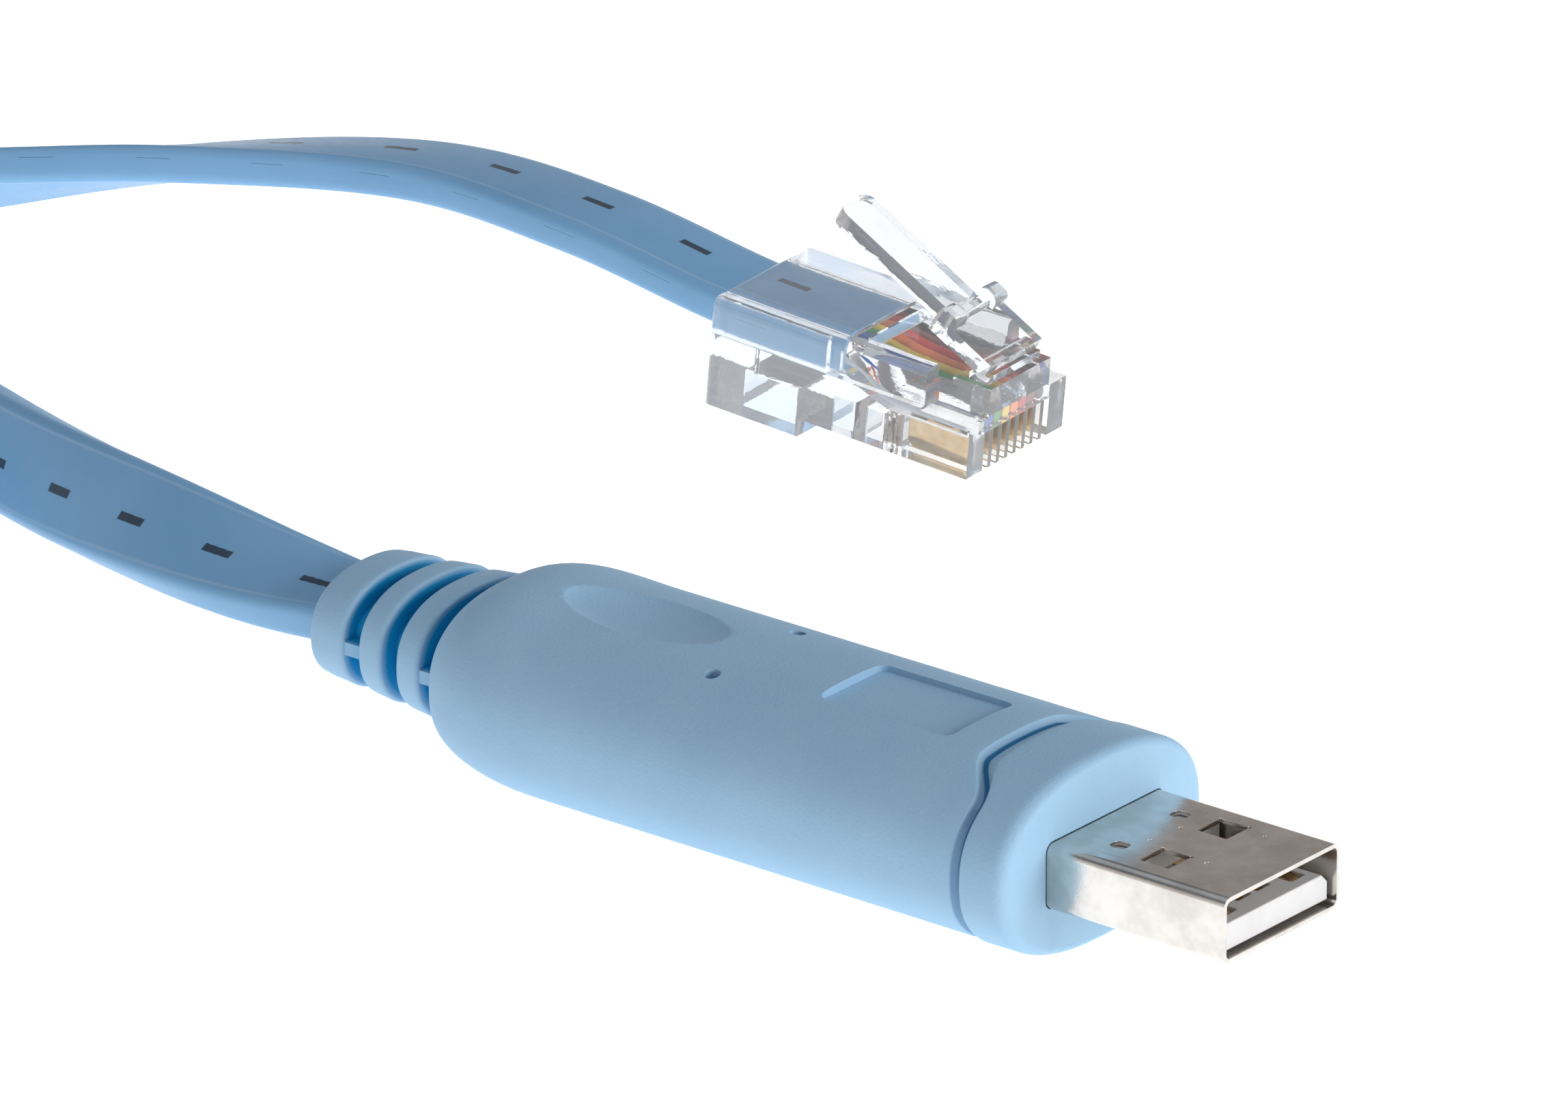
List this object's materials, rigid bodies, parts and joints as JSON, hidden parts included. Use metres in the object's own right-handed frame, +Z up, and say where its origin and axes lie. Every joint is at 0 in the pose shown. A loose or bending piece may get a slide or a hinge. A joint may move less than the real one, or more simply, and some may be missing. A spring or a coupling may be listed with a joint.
{
  "type": "rj45 console cable",
  "caption": "Flat light-blue console cable with a clear modular plug with a sprung latch on one end and a moulded USB-A adaptor with a ribbed strain relief on the other, spare length coiled.",
  "frame": {"origin": "centre of the USB adaptor's underside, on the floor it lies on, the free cable and the modular plug on it not counted", "axes": "+X the way the USB plug is pushed in, +Y to its left, +Z up"},
  "size_m": [0.21, 0.1366, 0.0153],
  "materials": {
    "blue_moulding": "fine matt grain, soft light-blue moulded plastic",
    "cable_jacket": "smooth satin light-blue jacket",
    "plated_steel": "folded plated steel, satin",
    "white_insulator": "smooth white plastic",
    "gold_contact": "bright gold-plated contact",
    "clear_plastic": "clear polished polycarbonate",
    "wire_grey": "smooth grey wire insulation",
    "wire_blue": "smooth blue wire insulation",
    "wire_green": "smooth green wire insulation",
    "wire_yellow": "smooth yellow wire insulation",
    "wire_orange": "smooth orange wire insulation",
    "wire_red": "smooth red wire insulation",
    "wire_brown": "smooth brown wire insulation",
    "wire_black": "smooth black wire insulation"
  },
  "bodies": {
    "cable": {"usb_overmould": "blue_moulding", "usb_shell": "plated_steel", "usb_tongue": "white_insulator", "usb_contact_1": "gold_contact", "usb_contact_2": "gold_contact", "usb_contact_3": "gold_contact", "usb_contact_4": "gold_contact", "rj45_housing": "clear_plastic", "rj45_contact_1": "gold_contact", "rj45_contact_2": "gold_contact", "rj45_contact_3": "gold_contact", "rj45_contact_4": "gold_contact", "rj45_contact_5": "gold_contact", "rj45_contact_6": "gold_contact", "rj45_contact_7": "gold_contact", "rj45_contact_8": "gold_contact", "conductor_1": "wire_grey", "conductor_2": "wire_blue", "conductor_3": "wire_green", "conductor_4": "wire_yellow", "conductor_5": "wire_orange", "conductor_6": "wire_red", "conductor_7": "wire_brown", "conductor_8": "wire_black", "cable_usb_side": "cable_jacket", "cable_rj45_side": "cable_jacket", "cable_coil": "cable_jacket", "cable_core": "cable_jacket"},
    "latch": {"rj45_latch": "clear_plastic"}
  },
  "joints": [
    {"name": "latch_flex", "type": "hinge", "parent": "cable", "child": "latch", "pos_m": [-0.03219, 0.06144, 0.00627], "axis": [0.0732, -0.9973, 0], "range_deg": [0, 18], "stiffness_Nm_per_rad": 0.05}
  ]
}
